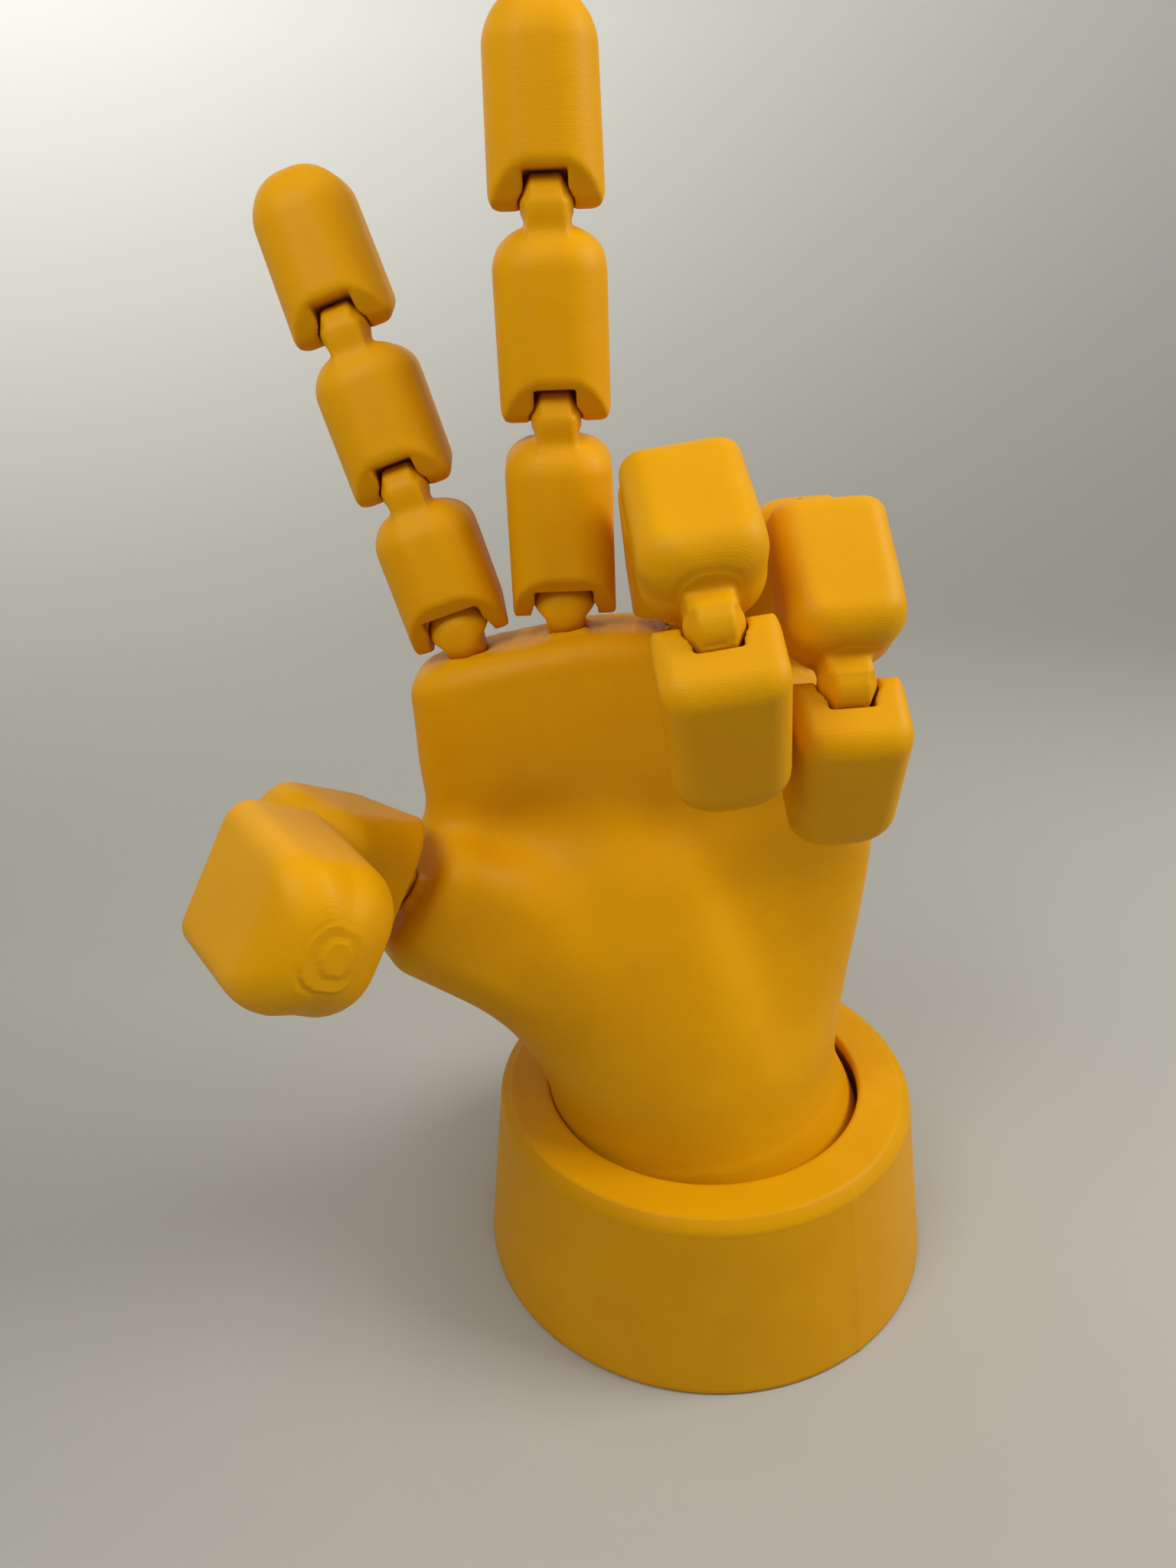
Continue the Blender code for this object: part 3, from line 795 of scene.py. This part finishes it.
def pale_backdrop_with_painted_light():
    """Pale matt backdrop, painted paler from the floor to the top of the curve as painted light on
    the wall.
    """
    material = bpy.data.materials.new("backdrop")
    material.use_nodes = True
    nodes = material.node_tree.nodes
    link = material.node_tree.links.new
    shader = nodes["Principled BSDF"]
    shader.inputs["Roughness"].default_value = 0.85
    shader.inputs["Specular IOR Level"].default_value = 0.2
    place = nodes.new("ShaderNodeTexCoord")
    split = nodes.new("ShaderNodeSeparateXYZ")
    link(place.outputs["Object"], split.inputs["Vector"])
    ramp = nodes.new("ShaderNodeValToRGB")
    # Painted light: the ramp up the curve makes the wall paler than the floor
    floor, wall = ramp.color_ramp.elements
    floor.color = FLOOR_COLOUR
    wall.position = DISH_CURVE
    wall.color = WALL_COLOUR
    link(split.outputs["Z"], ramp.inputs["Fac"])
    link(ramp.outputs["Color"], shader.inputs["Base Color"])
    return material


def build_backdrop():
    """A pale floor that curves up into a wall all round, well away from the hand."""
    turns = np.linspace(0, math.pi / 2, 24)
    profile = [
        (DISH_FLAT + DISH_CURVE * math.sin(turn), DISH_CURVE * (1 - math.cos(turn)))
        for turn in turns
    ]
    profile.append((DISH_FLAT + DISH_CURVE, DISH_HEIGHT))
    points = [(0.0, 0.0, 0.0)]
    for radius, height in profile:
        for i in range(DISH_SIDES):
            turn = 2 * math.pi * i / DISH_SIDES
            points.append((radius * math.cos(turn), radius * math.sin(turn), height))
    mesh = bpy.data.meshes.new("backdrop")
    mesh.from_pydata(points, [], lathe_faces(DISH_SIDES, len(profile)))
    mesh.shade_smooth()
    mesh.materials.append(pale_backdrop_with_painted_light())
    backdrop = bpy.data.objects.new("backdrop", mesh)
    bpy.context.scene.collection.objects.link(backdrop)


def build_studio():
    build_backdrop()
    world = bpy.data.worlds.new("studio")
    world.use_nodes = True
    background = world.node_tree.nodes["Background"]
    background.inputs["Color"].default_value = WORLD_COLOUR
    background.inputs["Strength"].default_value = WORLD_STRENGTH
    bpy.context.scene.world = world
    bpy.context.scene.view_settings.view_transform = "Standard"
    for light in LIGHTS:
        add_light(*light)


def main():
    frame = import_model()
    JOINTS.update({joint["name"]: joint for joint in frame["joints"]})
    build_camera()
    build_studio()
    build_stand()
    build_palm()
    for name in FINGERS:
        build_finger(name)
    build_thumb()


main()
